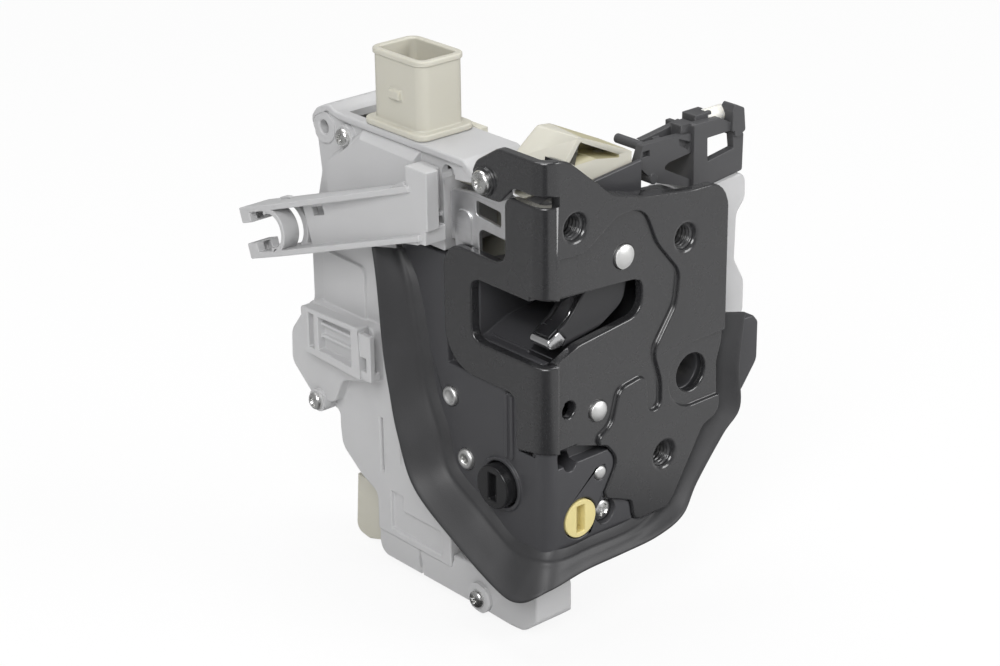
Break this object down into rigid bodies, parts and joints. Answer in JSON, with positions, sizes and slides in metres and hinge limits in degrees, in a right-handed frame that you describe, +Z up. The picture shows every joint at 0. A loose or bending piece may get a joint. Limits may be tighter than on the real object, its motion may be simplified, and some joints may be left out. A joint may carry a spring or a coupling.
{
  "type": "car door lock",
  "caption": "Rotary-claw door latch with a formed corner plate, rubber seal skirt and actuator housing with a connector socket and cable holder.",
  "frame": {"origin": "centre of the upper left bolt hole on the front face of the latch plate", "axes": "+Z up, +Y from the plate's front face back into the door, +X from the wing to the right edge of the plate"},
  "size_m": [0.0996, 0.118, 0.1527],
  "materials": {
    "black_steel": "black e-coat, semi-gloss",
    "case_plastic": "satin moulded",
    "zinc_steel": "zinc plated",
    "bright_steel": "bright",
    "motor_steel": "drawn",
    "claw_steel": "ground",
    "claw_plastic": "satin",
    "seal_rubber": "matte",
    "grey_plastic": "fine grain",
    "cream_plastic": "smooth",
    "white_plastic": "smooth",
    "yellow_plastic": "smooth",
    "gloss_black": "glossy",
    "terminal_brass": "tinned"
  },
  "bodies": {
    "root": {"latch_plate": "black_steel", "lock_case": "case_plastic", "back_plate": "zinc_steel", "claw_rivet": "bright_steel", "pawl_rivet": "bright_steel", "case_rivet": "bright_steel", "side_rivet": "bright_steel", "side_eyelet": "bright_steel", "striker_buffer": "seal_rubber", "seal_skirt": "seal_rubber", "support_bracket": "zinc_steel", "side_cover": "grey_plastic", "lower_cover": "grey_plastic", "carrier": "cream_plastic", "connector_socket": "cream_plastic", "connector_pins": "terminal_brass", "rod_funnel": "cream_plastic", "right_cover": "grey_plastic", "rod_bracket": "case_plastic", "rod_bush": "grey_plastic", "cable_holder": "grey_plastic", "side_clip": "grey_plastic", "cover_screws": "bright_steel", "plate_screws": "bright_steel", "drive_motor": "motor_steel", "lead_frame": "terminal_brass", "switches": "case_plastic", "claw_spring": "motor_steel", "pawl_spring": "motor_steel", "lever_pins": "bright_steel"},
    "claw": {"claw_core": "claw_steel", "claw_jacket": "claw_plastic"},
    "pawl": {"pawl": "claw_steel"},
    "outside_lever": {"outside_lever": "zinc_steel"},
    "inside_lever": {"inside_lever": "zinc_steel"},
    "key_rotor": {"key_rotor": "cream_plastic"},
    "emergency_rotary": {"emergency_rotary": "gloss_black"},
    "child_rotary": {"child_rotary": "yellow_plastic"},
    "worm": {"motor_shaft": "bright_steel", "worm": "white_plastic"},
    "worm_wheel": {"worm_wheel": "white_plastic"},
    "lock_lever": {"lock_lever": "cream_plastic"}
  },
  "joints": [
    {"name": "claw_pivot", "type": "hinge", "parent": "root", "child": "claw", "pos_m": [0.0178, 0.0085, -0.0128], "axis": [0, -1, 0], "range_deg": [0, 70], "stiffness_Nm_per_rad": 0.05},
    {"name": "pawl_pivot", "type": "hinge", "parent": "root", "child": "pawl", "pos_m": [0.0089, 0.0085, -0.0538], "axis": [0, -1, 0], "range_deg": [-52, 0]},
    {"name": "outside_release", "type": "hinge", "parent": "root", "child": "outside_lever", "pos_m": [0.06, 0.013, -0.026], "axis": [0, 1, 0], "range_deg": [0, 10], "stiffness_Nm_per_rad": 0.03},
    {"name": "inside_release", "type": "hinge", "parent": "root", "child": "inside_lever", "pos_m": [0.001, 0.052, -0.024], "axis": [1, 0, 0], "range_deg": [-20, 0], "stiffness_Nm_per_rad": 0.03},
    {"name": "key_turn", "type": "hinge", "parent": "root", "child": "key_rotor", "pos_m": [0.0135, 0.0165, 0.0085], "axis": [1, 0, 0], "range_deg": [-40, 40]},
    {"name": "emergency_turn", "type": "hinge", "parent": "root", "child": "emergency_rotary", "pos_m": [-0.0095, 0.0182, -0.075], "axis": [1, 0, 0], "range_deg": [0, 90]},
    {"name": "child_turn", "type": "hinge", "parent": "root", "child": "child_rotary", "pos_m": [0.0025, 0.003, -0.083], "axis": [0, 1, 0], "range_deg": [0, 90]},
    {"name": "wheel_turn", "type": "hinge", "parent": "root", "child": "worm_wheel", "pos_m": [0.0005, 0.0825, -0.038], "axis": [1, 0, 0], "range_deg": [0, 90]},
    {"name": "worm_turn", "type": "hinge", "parent": "root", "child": "worm", "pos_m": [0.0005, 0.06729, -0.038], "axis": [0, 0, 1], "range_deg": [0, 1800]},
    {"name": "lock_turn", "type": "hinge", "parent": "root", "child": "lock_lever", "pos_m": [0.0036, 0.0825, -0.068], "axis": [1, 0, 0], "range_deg": [-22.4, 0]}
  ],
  "couplings": [
    {"joint": "pawl_pivot", "follows": "claw_pivot", "ratio": -0.74},
    {"joint": "worm_turn", "follows": "wheel_turn", "ratio": 20},
    {"joint": "lock_turn", "follows": "wheel_turn", "ratio": -0.2488}
  ]
}
